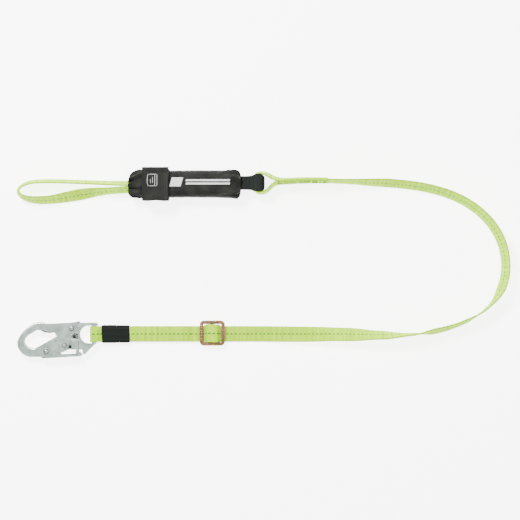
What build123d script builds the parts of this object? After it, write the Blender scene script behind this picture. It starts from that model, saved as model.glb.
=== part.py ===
from build123d import *

import math
import os

# Shock absorbing lanyard, lying on a flat surface at z = 0. Millimetres.
# X runs along the lanyard from the snap hook to the free bend, +Z is up.

# Webbing
WEB_W = 25.4  # webbing width
WEB_T = 2.6  # webbing thickness
GAP = 0.3  # clearance between faces that slide or lie on each other
LAYER = WEB_T + GAP  # rise from one webbing layer to the next

# Lower run: hook, keeper and adjuster
RUN_Y = -114.6  # centreline of the lower run
HOOK_X = -79.5  # inner face of the hook's web bar
HOOK_Y = -115.1
HOOK_MID_Z = 9.0
HOOK_T = 8.0  # thickness of the hook's body
PLATE_T = 1.3  # gate and lever side plates
PLATE_GAP = 0.3  # clearance between the plates' layers
BAR_D = 8.0  # web bar across the eye
PIN_R = 2.2  # rivet shanks
HEAD_R = 4.45
HEAD_T = 1.5
RUN_FIT = 0.08  # radial clearance of a pin in its bore
GATE_PIVOT = (-31.9, 10.2)
LATCH_PIN = (-43.6, -17.5)
LEVER_PIVOT = (-72.6, -27.2)
GATE_OPEN = 25.0  # degrees
EYE_H = 28.5  # height of the D-shaped eye
SPRING_AT = (-27.3, -3.6)  # gate spring's window in the body
COIL_R = 3.4
COIL_WIRE = 0.9

# Keeper sleeve
KEEPER_X0 = -63.5
KEEPER_X1 = -18.6
KEEPER_T = 1.2

# Adjuster
ADJ_X = 115.2
ADJ_Y = -113.0
ADJ_WIN = 29.0  # window, square
ADJ_RAIL = 5.85  # width of the rails round it
ADJ_W = ADJ_WIN + 2 * ADJ_RAIL
ADJ_T = 4.4
ADJ_CORNER = 6.5
CENTRE_D = 5.0
SOCKET = ADJ_RAIL - 1.35  # depth of the centre bar's ends in the rails
BAR_Z = 2 * LAYER + ADJ_T / 2 + GAP  # centre height of the adjuster's bars

# Energy absorber pack
PACK_X0 = -19.1
PACK_X1 = 161.4
PACK_Y = 127.1
PACK_HALF = 22.7
PACK_Z0 = 1.5
PACK_Z1 = 30.5
COVER_T = 1.4
GATHER = 5.6  # length of each elastic gather
LOOP_MID_Z = WEB_T + GAP + WEB_W / 2  # height of the loops where they leave the pack
LOOP_Y = 128.9
LOOP_TIP = 199.9
BAND_X0 = 3.4
BAND_X1 = 46.0
BAND_T = 1.2
BAND_Y0 = PACK_Y - PACK_HALF - 4.8
BAND_Y1 = PACK_Y + PACK_HALF + 1.8
BAND_Z1 = PACK_Z1 + 1.5
SEAM_Y1 = BAND_Y1 + 2
PATCH_T = 0.8
FLAP_T = 1.2
ABSORBER_LAYERS = 5
LINK_X = 184.5  # where the main strap's eye threads the black loop

os.makedirs("parts", exist_ok=True)


def save(shape, node):
    """Write one node, named and as a plain shape."""
    shape.label = node
    export_step(shape, f"parts/{node}.step")


def box_at(x0, x1, y0, y1, z0, z1):
    """Axis-aligned box between two corners."""
    return Pos((x0 + x1) / 2, (y0 + y1) / 2, (z0 + z1) / 2) * Box(x1 - x0, y1 - y0, z1 - z0)


def rod(x, y, z0, z1, radius):
    """Upright cylinder."""
    return Pos(x, y, (z0 + z1) / 2) * Cylinder(radius, z1 - z0)


def smooth_slab(points, z0, z1, radius):
    """Outline with rounded corners, extruded between two heights."""
    face = make_face(Polyline(*points, close=True))
    face = fillet(face.vertices(), radius)
    return Pos(0, 0, z0) * extrude(face, z1 - z0)


def web_in_xz(points, radius, y):
    """Webbing that stays level across, along a path in an XZ plane."""
    path = FilletPolyline(*[(x, y, z) for x, z in points], radius=radius)
    start = Plane(origin=path @ 0, x_dir=(0, 1, 0), z_dir=path % 0)
    return sweep(start * Rectangle(WEB_W, WEB_T), path=path)


def web_on_route(points, radii, rolls, lifts, count, name):
    """Webbing along a route in plan.

    rolls gives (share of length, degrees from flat), and lifts gives (share, height off the floor).
    """
    path = FilletPolyline(*points, radius=radii)
    sections = []
    for i in range(count + 1):
        share = i / count
        roll = math.radians(value_at(rolls, share))
        lean = abs(math.cos(roll))
        height = (WEB_W * math.sin(roll) + WEB_T * lean) / 2 + value_at(lifts, share)
        point = path @ share + Vector(0, 0, height)
        tangent = path % share
        side = Vector(-tangent.Y, tangent.X, 0)
        across = side * math.cos(roll) + Vector(0, 0, 1) * math.sin(roll)
        sections.append(Plane(origin=point, x_dir=across, z_dir=tangent) * Rectangle(WEB_W, WEB_T))
    web = loft(sections, ruled=True)
    print(name, "radii", radii, "length", round(path.length, 1))
    print(name, "volume", round(web.volume), "section x length", round(path.length * WEB_W * WEB_T))
    return web


def value_at(stations, share):
    """Value at a share of the length, straight between the given stations."""
    for (s0, a0), (s1, a1) in zip(stations, stations[1:]):
        if share <= s1:
            return a0 + (a1 - a0) * (share - s0) / (s1 - s0)
    return stations[-1][1]


def bend_radii(points, shares):
    """Radius at each inner corner: a share of the shorter run over the half turn's tangent."""
    radii = []
    for a, b, c, share in zip(points, points[1:], points[2:], shares):
        run = min(math.dist(a, b), math.dist(b, c))
        turn = math.atan2(c[1] - b[1], c[0] - b[0]) - math.atan2(b[1] - a[1], b[0] - a[0])
        turn = abs((turn + math.pi) % (2 * math.pi) - math.pi)
        radii.append(round(share * run / math.tan(turn / 2), 1))
    return radii


# ---- Snap hook, in its own plan frame: origin at the web bar's inner face ----

PLATE_IN = HOOK_T / 2 + PLATE_GAP  # distance of the gate's plates from the mid-plane
LEVER_IN = PLATE_IN + PLATE_T + 2 * PLATE_GAP  # and of the lever's plates
LATCH_HEAD_T = PLATE_GAP  # the latch pin's heads stay below the lever's plates
BASE_Y = 15.7  # inside of the gate channel's back
EAR_R = BASE_Y - GATE_PIVOT[1] - GAP  # body's ear round the gate pivot
BAR_X = BAR_D / 2  # centre of the web bar


def on_hook(shape):
    """Move a piece from the hook's plan frame to its place."""
    return Pos(HOOK_X, HOOK_Y, HOOK_MID_Z) * shape


def latch_slot():
    """Arc slot that the latch pin runs along as the gate opens."""
    dx = LATCH_PIN[0] - GATE_PIVOT[0]
    dy = LATCH_PIN[1] - GATE_PIVOT[1]
    start = math.degrees(math.atan2(dy, dx)) - 1
    line = CenterArc(GATE_PIVOT, math.hypot(dx, dy), start, GATE_OPEN + 2)
    return extrude(SlotArc(line, 2 * (PIN_R + GAP)), HOOK_T, both=True)


def hook_bowl():
    """Curved end of the hook, from the shank round to the nose."""
    outer = Spline(
        (-80, -36.3), (-92, -36.9), (-104.5, -35.6), (-116.4, -26), (-120.4, -14.3), (-117.5, -4.9),
        (-108.2, 7.3), (-98.8, 14.7), (-91.4, 19), (-82.9, 20.4), (-75, 18.5),
    )
    inner = Spline(
        (-75, 8.6), (-85.7, 7.8), (-96, 1.5), (-104, -3.9), (-107.2, -10),
        (-104.5, -17.5), (-97, -21.4), (-86.7, -19.8),
    )
    nose = Line(outer @ 1, inner @ 0)
    root = Line(inner @ 1, outer @ 0)
    face = make_face([outer, nose, inner, root])
    bowl = extrude(face, HOOK_T / 2, both=True)
    return fillet(bowl.edges().group_by(Axis.Z)[0] + bowl.edges().group_by(Axis.Z)[-1], 3)


def hook_body():
    """Forged body: bowl, shank, ear for the gate and D-shaped eye."""
    shank = smooth_slab(
        [
            (-90, -36.3), (-76, -36.2), (-58, -32.4), (-45, -28.3), (-37, -24.3), (-14.3, -24.3),
            (-14.3, -30.2), (-11.3, -32.9), (9.2, -12.3), (11.3, -8), (11.3, 16), (8, 19.4), (-16, 19.4),
            (-24, 13), (-33, 13), (-39, 8), (-44, 3), (-57.2, -3.4), (-86.7, -19.8), (-92, -24),
        ],
        -HOOK_T / 2, HOOK_T / 2, 1.2,
    )
    shank = fillet(shank.edges().group_by(Axis.Z)[0] + shank.edges().group_by(Axis.Z)[-1], 0.9)
    half = EYE_H / 2
    eye = Pos(-2, 0, 0) * Box(4, EYE_H, 2 * HOOK_T) + Pos(-4.2, 0, 0) * Cylinder(half, 2 * HOOK_T)
    eye -= Pos(50, 0, 0) * Box(100, 100, 3 * HOOK_T)
    bar_gap = Pos(20, 0, 0) * Box(40, EYE_H, 2 * HOOK_T)
    body = shank + hook_bowl() - eye - bar_gap
    body += Pos(BAR_X, 0, 0) * Rot(90, 0, 0) * Cylinder(BAR_D / 2, EYE_H + 3)
    body -= Pos(*SPRING_AT, 0) * Box(10.4, 10.4, 2 * HOOK_T)
    body -= Pos(-57.7, -10, 0) * Cylinder(1.2, 2 * HOOK_T)
    body -= latch_slot()
    body += Pos(*GATE_PIVOT, 0) * Cylinder(EAR_R, HOOK_T)
    body -= Pos(*GATE_PIVOT, 0) * Cylinder(PIN_R + RUN_FIT, 2 * HOOK_T)
    body -= Pos(*LEVER_PIVOT, 0) * Cylinder(PIN_R + RUN_FIT, 2 * HOOK_T)
    body -= Pos(*LEVER_PIVOT, 0) * Cylinder(COIL_R + 2 * COIL_WIRE, HOOK_T - 2)
    return on_hook(body)


def two_plates(outline, inside, radius):
    """A pair of side plates, above and below the mid-plane."""
    top = smooth_slab(outline, inside, inside + PLATE_T, radius)
    return top + mirror(top, Plane.XY)


def hook_gate():
    """Channel-shaped gate with an arm down to the latch pin."""
    outline = [
        (-90.9, 7.3), (-90.9, 15.2), (-76, 17.2), (-33.4, 19), (-23.5, 20.4), (-23.2, 8.3),
        (-31.4, -2.1), (-33.4, -9.6), (-37.5, -21.5), (-44.6, -23.6), (-50.0, -17.5),
        (-56.2, -2.1), (-60.4, 4.5), (-68.9, 3.6), (-78, 7.0),
    ]
    gate = two_plates(outline, PLATE_IN, 1.5)
    wide = 2 * (PLATE_IN + PLATE_T)
    gate += Pos(-52.5, BASE_Y + PLATE_T / 2, 0) * Box(39, PLATE_T, wide)
    gate -= Pos(*GATE_PIVOT, 0) * Cylinder(PIN_R + RUN_FIT, 4 * HOOK_T)
    gate -= Pos(*LATCH_PIN, 0) * Cylinder(PIN_R, 4 * HOOK_T)
    return on_hook(gate)


def rivet(place, reach, head):
    """Rivet with a head on each side. reach is from the mid-plane to under the head."""
    shank = Cylinder(PIN_R, 2 * reach)
    cap = Pos(0, 0, reach + head / 2) * Cylinder(HEAD_R, head)
    if head > 1:
        cap = fillet(cap.edges().group_by(Axis.Z)[-1], 0.9)
    return on_hook(Pos(*place, 0) * (shank + cap + mirror(cap, Plane.XY)))


def lock_lever():
    """Squeeze lever: two plates joined by a flange along the hook's lower edge."""
    outline = [
        (-80, -38.6), (-15.6, -34.7), (-16.5, -30.5), (-20.5, -28), (-21.5, -9.6), (-31.5, -9.6),
        (-31.5, -20.7), (-24.5, -24), (-25, -31), (-48, -32.3), (-62, -26), (-67.5, -22.4),
        (-72.6, -20.8), (-77.7, -22.4), (-80, -27),
    ]
    lever = two_plates(outline, LEVER_IN, 0.6)
    wide = 2 * (LEVER_IN + PLATE_T)
    flange = smooth_slab(
        [(-80, -38.6), (-15.6, -34.7), (-15.6, -33.2), (-80, -37.1)], -wide / 2, wide / 2, 0.3
    )
    lever += flange
    lever -= Pos(*LEVER_PIVOT, 0) * Cylinder(PIN_R + RUN_FIT, 4 * HOOK_T)
    return on_hook(lever)


def coil(place, radius, wire, turns, height):
    """Torsion spring body, wound about Z."""
    path = Helix(pitch=height / turns, height=height, radius=radius)
    start = Plane(origin=path @ 0, z_dir=path % 0)
    spring = sweep(start * Circle(wire / 2), path=path, is_frenet=True)
    return on_hook(Pos(place[0], place[1], -height / 2) * spring)


# ---- Hook end, adjuster and the webbing between them ----

FLOOR_Z = WEB_T / 2  # mid-height of webbing that lies flat
KEEPER_Z = KEEPER_T + 0.1 + WEB_T / 2  # of the lower layer in the keeper
JOIN_X = 80.0  # where the webbing's own pieces meet, left of the adjuster
EXIT_X = 150.0  # and right of it
WRAP_R = CENTRE_D / 2 + 0.1 + WEB_T / 2


def hook_strap():
    """Webbing from the adjuster, round the hook's bar and back on top of itself."""
    bar = HOOK_X + BAR_X
    turn = BAR_D / 2 + 0.15 + WEB_T / 2
    low, high = HOOK_MID_Z - turn, HOOK_MID_Z + turn
    k1 = KEEPER_X1 + 2
    points = [
        (JOIN_X, FLOOR_Z), (k1 + 10, FLOOR_Z), (k1, KEEPER_Z), (bar + 13, KEEPER_Z),
        (bar + 3.5, low), (bar - turn, low), (bar - turn, high), (bar + 2.3, high),
        (bar + 12, KEEPER_Z + LAYER), (k1, KEEPER_Z + LAYER), (k1 + 10, FLOOR_Z + LAYER),
        (JOIN_X, FLOOR_Z + LAYER),
    ]
    return web_in_xz(points, [20, 20, 10, 10, turn - 0.02, turn - 0.02, 3, 6, 20, 20], RUN_Y)


def keeper_sleeve():
    """Black sleeve that holds the two layers together behind the hook."""
    half = WEB_W / 2 + 0.3
    top = KEEPER_Z + LAYER + WEB_T / 2 + 0.9
    outer = box_at(KEEPER_X0, KEEPER_X1, RUN_Y - half - KEEPER_T, RUN_Y + half + KEEPER_T, 0, top + KEEPER_T)
    outer = fillet(outer.edges().filter_by(Axis.X), 2)
    inner = box_at(KEEPER_X0 - 1, KEEPER_X1 + 1, RUN_Y - half, RUN_Y + half, KEEPER_T, top)
    return outer - inner


def adjuster_strap():
    """Webbing that slides through the adjuster, over its centre bar."""
    low = FLOOR_Z + LAYER
    high = BAR_Z + WRAP_R + LAYER
    points = [
        (JOIN_X, low), (ADJ_X - 12.7, low), (ADJ_X - 6.2, high), (ADJ_X + 6.2, high),
        (ADJ_X + 12.7, low), (ADJ_X + 20.8, low), (ADJ_X + 30, FLOOR_Z), (EXIT_X, FLOOR_Z),
    ]
    return web_in_xz(points, [4.5, 4, 4, 4.5, 8, 8], RUN_Y)


def strap_end():
    """End of the webbing, turned round the centre bar and sewn."""
    low, high = BAR_Z - WRAP_R, BAR_Z + WRAP_R
    points = [
        (JOIN_X, FLOOR_Z), (ADJ_X - 8.2, FLOOR_Z), (ADJ_X - 1.7, low), (ADJ_X + WRAP_R, low),
        (ADJ_X + WRAP_R, high), (ADJ_X - WRAP_R, high), (ADJ_X - WRAP_R, BAR_Z - 2.2),
    ]
    turn = WRAP_R - 0.02
    return web_in_xz(points, [4, 4, turn, turn, turn], RUN_Y)


def strap_end_stitching():
    """Bar tacks on the sewn end, under the left bar."""
    rows = []
    for i in range(4):
        x = JOIN_X + 6 + 3 * i
        rows.append(box_at(x, x + 1.2, RUN_Y - 10, RUN_Y + 10, WEB_T, WEB_T + 0.2))
    return Compound(children=rows)


def adjuster_frame():
    """Square frame of the three-bar adjuster."""
    frame = extrude(RectangleRounded(ADJ_W, ADJ_W, ADJ_CORNER), ADJ_T / 2, both=True)
    frame -= extrude(RectangleRounded(ADJ_WIN, ADJ_WIN, 1.2), ADJ_T, both=True)
    rims = frame.edges().group_by(Axis.Z)
    frame = fillet(rims[0] + rims[-1], 1.1)
    sockets = Rot(90, 0, 0) * Cylinder(CENTRE_D / 2 - 0.9, ADJ_WIN + 2 * SOCKET)
    frame -= sockets
    return Pos(ADJ_X, ADJ_Y, BAR_Z) * frame


def adjuster_centre_bar():
    """Centre bar, pressed into the frame's sides."""
    bar = Rot(90, 0, 0) * Cylinder(CENTRE_D / 2, ADJ_WIN - 0.02)
    tails = Rot(90, 0, 0) * Cylinder(CENTRE_D / 2 - 0.9, ADJ_WIN + 2 * SOCKET)
    return Pos(ADJ_X, ADJ_Y, BAR_Z) * (bar + tails)


# ---- Main strap and its eye ----

MAIN_POINTS = [
    (222, 129.9), (262, 132.9), (310, 132.2), (360, 130.6), (412, 128.6), (464, 121.5),
    (512, 106.5), (552, 80), (580, 43), (590.5, -2), (583, -42), (560, -74), (520, -97.5),
    (472, -111.5), (420, -116.6), (366, -116.0), (312, -114.8), (258, -115.2),
    (204, RUN_Y), (EXIT_X, RUN_Y),
]
MAIN_ROLLS = [
    (0, 90), (0.1, 90), (0.2, 62), (0.5, 62), (0.56, 90), (0.63, 106), (0.69, 92), (0.74, 70),
    (0.80, 40), (0.90, 12), (0.955, 0), (1, 0),
]
SEWN_X1 = 301.6


def main_strap():
    """Free webbing from the pack's link round to the adjuster."""
    radii = bend_radii(MAIN_POINTS, [0.45] * (len(MAIN_POINTS) - 2))
    radii = [min(r, 900) for r in radii]
    lifts = [(0, LAYER), (0.15, 0), (1, 0)]
    return web_on_route(MAIN_POINTS, radii, MAIN_ROLLS, lifts, 120, "main_strap")


def link_eye():
    """Sewn eye of the main strap, threaded through the pack's black loop."""
    top = LOOP_Y + WEB_W / 2 + GAP + WEB_T / 2 + 0.4
    bottom = LOOP_Y - WEB_W / 2 - GAP - WEB_T / 2 - 0.4
    pass_x = LINK_X - 1.5
    points = [
        (SEWN_X1, 135.1), (262, 135.85), (219, 132.6), (201, top), (pass_x, top),
        (pass_x, bottom), (202.5, bottom), (214.5, 128.9), (221.9, 129.87),
    ]
    lifts = [(0, LAYER), (1, LAYER)]
    return web_on_route(points, [200, 10, 8, 4, 4, 8, 8], [(0, 90), (1, 90)], lifts, 160, "link_eye")


def tab_stitching():
    """Rows of stitches through the sewn overlap, on the main strap's outer face."""
    path = FilletPolyline(*MAIN_POINTS[:4], radius=[300, 300])
    stitches = []
    for i in range(14):
        share = 0.04 + 0.038 * i
        tangent = path % share
        side = Vector(tangent.Y, -tangent.X, 0)
        spot = Plane(path @ share + side * (WEB_T / 2 + 0.5), x_dir=tangent, z_dir=(0, 0, 1))
        for z in (-9.5, 0, 9.5):
            stitches.append(spot * Pos(0, 0, LOOP_MID_Z + z) * Box(3.2, 0.5, 1.2))
    return Compound(children=stitches)


# ---- Soft web loop at the pack's other end ----

SOFT_POINTS = [
    (-8, 127.6), (-57, 128.9), (-106, 131.0), (-150, 132.3), (-184, 130.5), (-201.5, 117),
    (-188, 103), (-152, 100.5), (-108, 108.6), (-62, 116.6), (-8, 118.6),
]
SOFT_ROLLS = [(0, 90), (0.2, 86), (0.5, 78), (0.62, 64), (0.76, 50), (0.9, 84), (1, 90)]


def soft_loop():
    """Webbing loop that hangs from the pack's hook end."""
    radii = bend_radii(SOFT_POINTS, [0.45, 0.45, 0.45, 0.45, 0.49, 0.49, 0.45, 0.45, 0.45])
    radii = [min(r, 600) for r in radii]
    lifts = [(0, LAYER), (0.2, 0), (0.85, 0), (1, LAYER)]
    return web_on_route(SOFT_POINTS, radii, SOFT_ROLLS, lifts, 90, "soft_loop")


# ---- Energy absorber pack ----

STACK_X0 = 12.0
STACK_X1 = 134.0
TACK_H = 12.0  # height of the sewn bundles at the folded webbing's ends


def absorber_loop():
    """Black webbing loop that stands out of the pack and links to the main strap."""
    low, high = FLOOR_Z, LOOP_MID_Z * 2 - FLOOR_Z
    near = WEB_T / 2 + GAP / 2
    neck = PACK_X1 + 5
    tip = LOOP_TIP - WEB_T / 2
    points = [
        (STACK_X1 + 14, LOOP_MID_Z + near), (neck, LOOP_MID_Z + near), (neck + 13, high), (tip, high),
        (tip, low), (neck + 13, low), (neck, LOOP_MID_Z - near), (STACK_X1 + 14, LOOP_MID_Z - near),
    ]
    return web_in_xz(points, [8, 8, 14, 14, 8, 8], LOOP_Y)


def absorber_webbing():
    """Tear webbing, folded back and forth inside the cover."""
    points = []
    for i in range(ABSORBER_LAYERS):
        z = LOOP_MID_Z + LAYER * (i - (ABSORBER_LAYERS - 1) / 2)
        ends = [(STACK_X0, z), (STACK_X1, z)]
        points += ends if i % 2 == 0 else ends[::-1]
    return web_in_xz(points, LAYER / 2 - 0.01, PACK_Y)


def absorber_stitching():
    """Rows of tear stitches on the top of the folded webbing."""
    top = LOOP_MID_Z + LAYER * (ABSORBER_LAYERS - 1) / 2 + WEB_T / 2
    rows = []
    for i in range(11):
        x = STACK_X0 + 8 + 10.5 * i
        rows.append(box_at(x, x + 1.4, PACK_Y - 11, PACK_Y + 11, top, top + 0.5))
    return Compound(children=rows)


def hook_end_tack():
    """Sewn bundle that joins the soft loop to the folded webbing."""
    x0, x1 = SOFT_POINTS[0][0] + GAP, STACK_X0 - LAYER / 2 - WEB_T / 2
    half = TACK_H / 2
    return box_at(x0, x1, PACK_Y - 12, PACK_Y + 8, LOOP_MID_Z - half, LOOP_MID_Z + half)


def link_end_tack():
    """Sewn bundle that joins the folded webbing to the black loop."""
    x0 = STACK_X1 + LAYER / 2 + WEB_T / 2
    half = TACK_H / 2
    return box_at(x0, STACK_X1 + 14, PACK_Y - 11, PACK_Y + 11, LOOP_MID_Z - half, LOOP_MID_Z + half)


def pack_plan(inset, x0, x1):
    """Cover's outline in plan, drawn in by inset."""
    half = PACK_HALF - inset
    neck = 11.5 - inset
    return [
        (x0, PACK_Y - neck), (x0 + 17, PACK_Y - half), (x1 - 5, PACK_Y - half),
        (x1, PACK_Y - half + 4), (x1, PACK_Y + half - 4), (x1 - 5, PACK_Y + half),
        (x0 + 17, PACK_Y + half), (x0, PACK_Y + neck),
    ]


def pack_cover():
    """Nylon cover of the energy absorber: a soft hollow box, open at both ends."""
    x0, x1 = PACK_X0 + GATHER, PACK_X1 - GATHER
    outer = smooth_slab(pack_plan(0, x0, x1), PACK_Z0, PACK_Z1, 3)
    outer = fillet(outer.edges().group_by(Axis.Z)[0] + outer.edges().group_by(Axis.Z)[-1], 6)
    inset = COVER_T
    z0, z1 = PACK_Z0 + COVER_T, PACK_Z1 - COVER_T
    inner = smooth_slab(pack_plan(inset, x0 + inset, x1 - inset), z0, z1, 2)
    inner = fillet(inner.edges().group_by(Axis.Z)[0] + inner.edges().group_by(Axis.Z)[-1], 4.5)
    return outer - inner - soft_opening() - black_opening()


def soft_opening():
    """Way out of the cover for the soft loop's two strands."""
    y0 = SOFT_POINTS[-1][1] - WEB_T / 2 - 1.3
    y1 = SOFT_POINTS[0][1] + WEB_T / 2 + 1.3
    return box_at(PACK_X0 - 2, SOFT_POINTS[0][0], y0, y1, LAYER - 1.1, LAYER + WEB_W + 0.9)


def black_opening():
    """Way out of the cover for the black loop's two layers."""
    half = WEB_W / 2 + 0.4
    return box_at(PACK_X1 - 12, PACK_X1 + 2, LOOP_Y - half, LOOP_Y + half, LOOP_MID_Z - 3.4, LOOP_MID_Z + 4)


def hook_end_gather():
    """Elastic that draws the cover in round the soft loop."""
    ring = box_at(PACK_X0, PACK_X0 + GATHER, PACK_Y - 14, PACK_Y + 7.5, 1.2, 31)
    ring = fillet(ring.edges().filter_by(Axis.X), 1)
    return ring - soft_opening()


def link_end_gather():
    """Elastic that draws the cover in round the black loop."""
    x0 = PACK_X1 - GATHER
    ring = box_at(x0, PACK_X1, PACK_Y - 16.5, PACK_Y + 18, 4, 28)
    ring = fillet(ring.edges().filter_by(Axis.X), 5)
    return ring - black_opening()


# ---- Label band on the pack ----

FLAP_Z = BAND_Z1 + 2 * PATCH_T + GAP  # underside of the flap


def label_band():
    """Fabric band round the pack, under the label."""
    outer = box_at(BAND_X0, BAND_X1, BAND_Y0, BAND_Y1, 0, BAND_Z1)
    outer = fillet(outer.edges().filter_by(Axis.X), 5)
    inner = box_at(
        BAND_X0 - 1, BAND_X1 + 1, BAND_Y0 + BAND_T, BAND_Y1 - BAND_T, BAND_T, BAND_Z1 - BAND_T
    )
    return outer - fillet(inner.edges().filter_by(Axis.X), 4)


def label_seam():
    """Sewn seam along the band's upper edge, where the flap hangs."""
    return box_at(BAND_X0, BAND_X1, BAND_Y1 - 4.4, SEAM_Y1, BAND_Z1, FLAP_Z + FLAP_T)


def label_flap():
    """Flap that covers the label."""
    flap = box_at(
        BAND_X0 + 0.4, BAND_X1 - 0.4, BAND_Y0 + 0.4, BAND_Y1 - 4.4 - GAP, FLAP_Z, FLAP_Z + FLAP_T
    )
    return fillet(flap.edges().filter_by(Axis.Z), 1.5)


def flap_hook_patch():
    """Hook tape under the flap's free edge."""
    x0, x1 = BAND_X0 + 5, BAND_X1 - 5
    return box_at(x0, x1, BAND_Y0 + 2, BAND_Y0 + 9, FLAP_Z - PATCH_T, FLAP_Z)


def band_loop_patch():
    """Loop tape on the band, facing the hook tape."""
    x0, x1 = BAND_X0 + 5, BAND_X1 - 5
    return box_at(x0, x1, BAND_Y0 + 5.2, BAND_Y0 + 10, BAND_Z1, BAND_Z1 + PATCH_T)


def label_booklet():
    """Folded label under the flap."""
    x0, x1 = BAND_X0 + 6, BAND_X1 - 6
    return box_at(x0, x1, BAND_Y0 + 12, BAND_Y1 - 8, BAND_Z1, BAND_Z1 + PATCH_T)


# ---- Write every node ----

PIECES = [
    hook_body, hook_gate, lock_lever, hook_strap, keeper_sleeve, adjuster_strap, strap_end,
    strap_end_stitching, adjuster_frame, adjuster_centre_bar, main_strap, link_eye, tab_stitching,
    soft_loop, absorber_loop, absorber_webbing, absorber_stitching, hook_end_tack, link_end_tack,
    pack_cover, hook_end_gather, link_end_gather, label_band, label_seam, label_flap,
    flap_hook_patch, band_loop_patch, label_booklet,
]
for piece in PIECES:
    save(piece(), piece.__name__)
save(rivet(GATE_PIVOT, PLATE_IN + PLATE_T, HEAD_T), "gate_pivot_rivet")
save(rivet(LATCH_PIN, PLATE_IN + PLATE_T, LATCH_HEAD_T), "latch_pin")
save(rivet(LEVER_PIVOT, LEVER_IN + PLATE_T, HEAD_T), "lever_pivot_rivet")
save(coil(SPRING_AT, COIL_R, COIL_WIRE, 4, 6), "gate_spring")
save(coil(LEVER_PIVOT, COIL_R, COIL_WIRE, 4, HOOK_T - 4), "lever_spring")
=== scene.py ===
import math

import bmesh
import bpy
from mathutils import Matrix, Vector, noise


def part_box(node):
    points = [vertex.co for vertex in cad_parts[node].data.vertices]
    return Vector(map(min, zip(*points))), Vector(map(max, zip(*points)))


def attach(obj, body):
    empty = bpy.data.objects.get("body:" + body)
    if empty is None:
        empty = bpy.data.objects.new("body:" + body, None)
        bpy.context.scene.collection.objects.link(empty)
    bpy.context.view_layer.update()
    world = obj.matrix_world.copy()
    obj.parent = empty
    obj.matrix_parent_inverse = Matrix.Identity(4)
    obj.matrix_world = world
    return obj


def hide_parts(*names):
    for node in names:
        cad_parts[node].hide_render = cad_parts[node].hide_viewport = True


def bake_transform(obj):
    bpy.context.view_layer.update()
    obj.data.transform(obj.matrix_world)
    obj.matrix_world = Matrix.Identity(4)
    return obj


# Shock absorbing lanyard on a pale floor, seen from straight above. Metres.

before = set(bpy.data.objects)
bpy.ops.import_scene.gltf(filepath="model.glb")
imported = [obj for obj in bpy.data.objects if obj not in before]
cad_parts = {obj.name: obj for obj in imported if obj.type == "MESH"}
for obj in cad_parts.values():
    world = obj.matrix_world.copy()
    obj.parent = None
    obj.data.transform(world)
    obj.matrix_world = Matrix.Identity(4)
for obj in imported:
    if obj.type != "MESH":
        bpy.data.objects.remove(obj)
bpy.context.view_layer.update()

MM = 0.001
WEB_W = 0.0254
WEB_T = 0.0026
LAYER = 2.9  # rise from one webbing layer to the next, in millimetres as the next two
FLAT_Z = 1.3  # middle of webbing that lies on the floor
UPPER_Z = 4.2  # middle of the layer on top of it


def box_of(node):
    """Lowest and highest corner of a CAD node, as vectors."""
    low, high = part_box(node)
    return Vector(low), Vector(high)


# ---- Camera ----

CAMERA_Z = 2.5
VIEW_WIDTH = 0.842  # width of the floor that the picture shows
SENSOR = 36


def set_camera():
    """Camera straight above the lanyard."""
    data = bpy.data.cameras.new("camera")
    camera = bpy.data.objects.new("camera", data)
    bpy.context.scene.collection.objects.link(camera)
    camera.location = (0.1921, 0.0049, CAMERA_Z)
    camera.rotation_euler = (0, 0, 0)
    data.lens = SENSOR * CAMERA_Z / VIEW_WIDTH
    data.sensor_width = SENSOR
    bpy.context.scene.camera = camera


set_camera()


# ---- Mesh helpers ----

def link(name, mesh, material):
    """Put a mesh in the scene as a smooth-shaded object."""
    piece = bpy.data.objects.new(name.replace(" ", "-"), mesh)
    bpy.context.scene.collection.objects.link(piece)
    for face in mesh.polygons:
        face.use_smooth = True
    mesh.materials.append(material)
    return piece


def follow(points, detail):
    """Points read off a smooth NURBS line whose control points are the route's points."""
    curve = bpy.data.curves.new("route", "CURVE")
    curve.dimensions = "3D"
    curve.resolution_u = detail
    spline = curve.splines.new("NURBS")
    spline.points.add(len(points) - 1)
    for knot, point in zip(spline.points, points):
        knot.co = (*point, 1)
    spline.order_u = 3
    spline.use_endpoint_u = True
    carrier = bpy.data.objects.new("route", curve)
    line = bpy.data.meshes.new_from_object(carrier)
    path = [vertex.co.copy() for vertex in line.vertices]
    bpy.data.objects.remove(carrier)
    bpy.data.meshes.remove(line)
    return path


def lengths(path):
    """Distance along a path at each of its points."""
    total = [0.0]
    for a, b in zip(path, path[1:]):
        total.append(total[-1] + (b - a).length)
    return total


def value_at(stations, share):
    """Value at a share of the length, eased between the given stations."""
    for (s0, a0), (s1, a1) in zip(stations, stations[1:]):
        if share <= s1:
            t = (share - s0) / (s1 - s0)
            t = t * t * (3 - 2 * t)
            return a0 + (a1 - a0) * t
    return stations[-1][1]


def section(width, thick):
    """Webbing's cross-section: (across, out) corners with soft selvedges, going round."""
    half, up = width / 2, thick / 2
    top = [(-1.0, 0.35), (-0.965, 0.85), (-0.88, 1.0), (-0.6, 0.93), (-0.3, 0.97), (0.0, 1.0)]
    top += [(-a, b) for a, b in top[-2::-1]]
    ring = top + [(a, -b) for a, b in reversed(top)]
    return [(a * half, b * up) for a, b in ring]


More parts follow.
